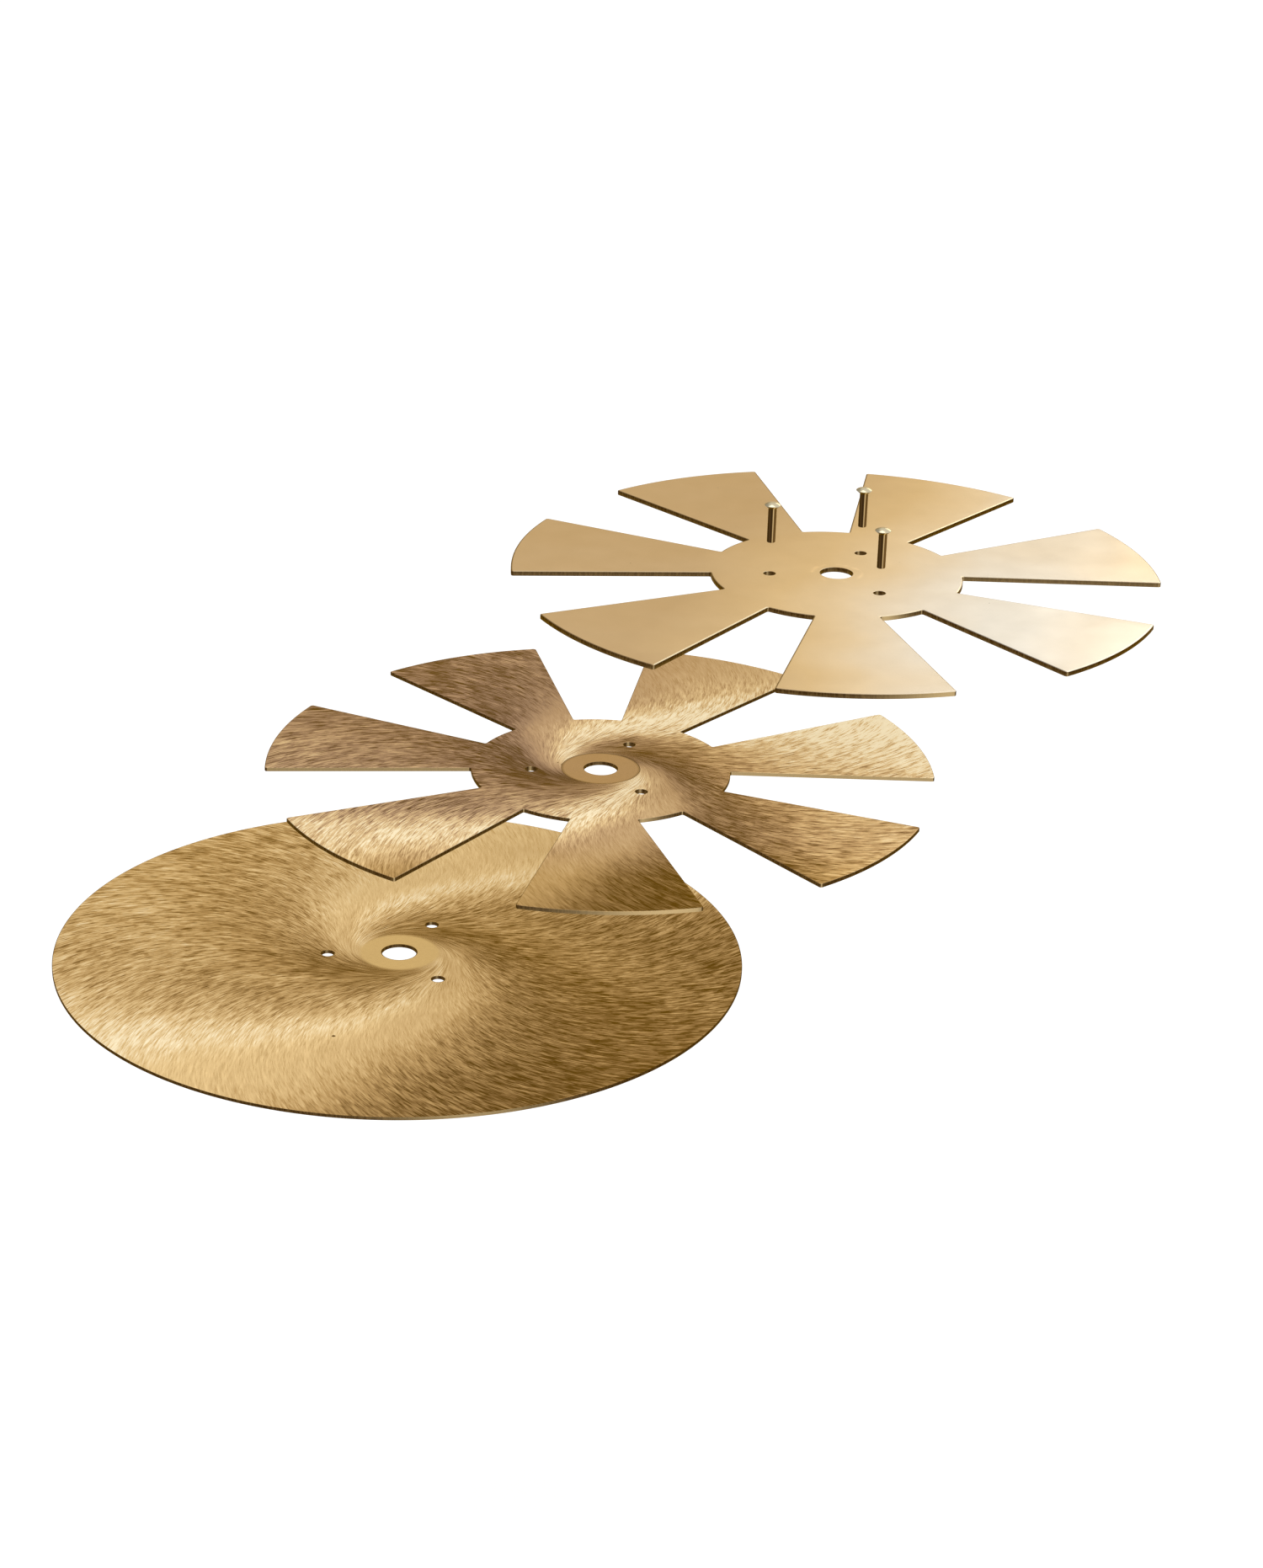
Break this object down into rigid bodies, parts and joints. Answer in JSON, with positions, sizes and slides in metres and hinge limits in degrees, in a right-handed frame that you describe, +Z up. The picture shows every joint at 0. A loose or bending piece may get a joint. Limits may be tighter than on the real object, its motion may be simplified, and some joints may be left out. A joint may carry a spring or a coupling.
{
  "type": "effects cymbal",
  "caption": "Stacked effects cymbal: a flat round disc under bladed sheets with open gaps, with loose rivets above their holes, shown drawn apart.",
  "frame": {"origin": "middle of the disc's centre hole, on the disc's underside, where a cymbal stand holds the stack", "axes": "+Z up, square to the sheets; +X to the player's right and +Y away from the player, as the picture shows the piece"},
  "size_m": [0.4149, 0.3771, 0.1403],
  "materials": {
    "disc_bronze": "swirl-ground bronze, a fine spiral grain turning out from the centre",
    "middle_bronze": "swirl-ground bronze, a fine spiral grain turning out from the centre",
    "top_bronze": "smooth polished bronze",
    "rivet_left_brass": "bright polished brass",
    "rivet_back_brass": "bright polished brass",
    "rivet_front_brass": "bright polished brass"
  },
  "bodies": {
    "bottom_disc": {"bottom_disc": "disc_bronze"},
    "middle_sheet": {"middle_sheet": "middle_bronze"},
    "top_sheet": {"top_sheet": "top_bronze"},
    "rivet_left": {"rivet_left": "rivet_left_brass"},
    "rivet_back": {"rivet_back": "rivet_back_brass"},
    "rivet_front": {"rivet_front": "rivet_front_brass"}
  },
  "joints": [
    {"name": "middle_sheet_slide", "type": "slide", "parent": "bottom_disc", "child": "middle_sheet", "axis": [0.6811, 0.5599, 0.4718], "range_m": [-0.10556, 0]},
    {"name": "top_sheet_slide", "type": "slide", "parent": "middle_sheet", "child": "top_sheet", "axis": [0.7185, 0.5279, 0.4529], "range_m": [-0.12388, 0]},
    {"name": "rivet_left_slide", "type": "slide", "parent": "top_sheet", "child": "rivet_left", "axis": [0, 0, 1], "range_m": [-0.02695, 0]},
    {"name": "rivet_back_slide", "type": "slide", "parent": "top_sheet", "child": "rivet_back", "axis": [0, 0, 1], "range_m": [-0.02515, 0]},
    {"name": "rivet_front_slide", "type": "slide", "parent": "top_sheet", "child": "rivet_front", "axis": [0, 0, 1], "range_m": [-0.02435, 0]}
  ]
}
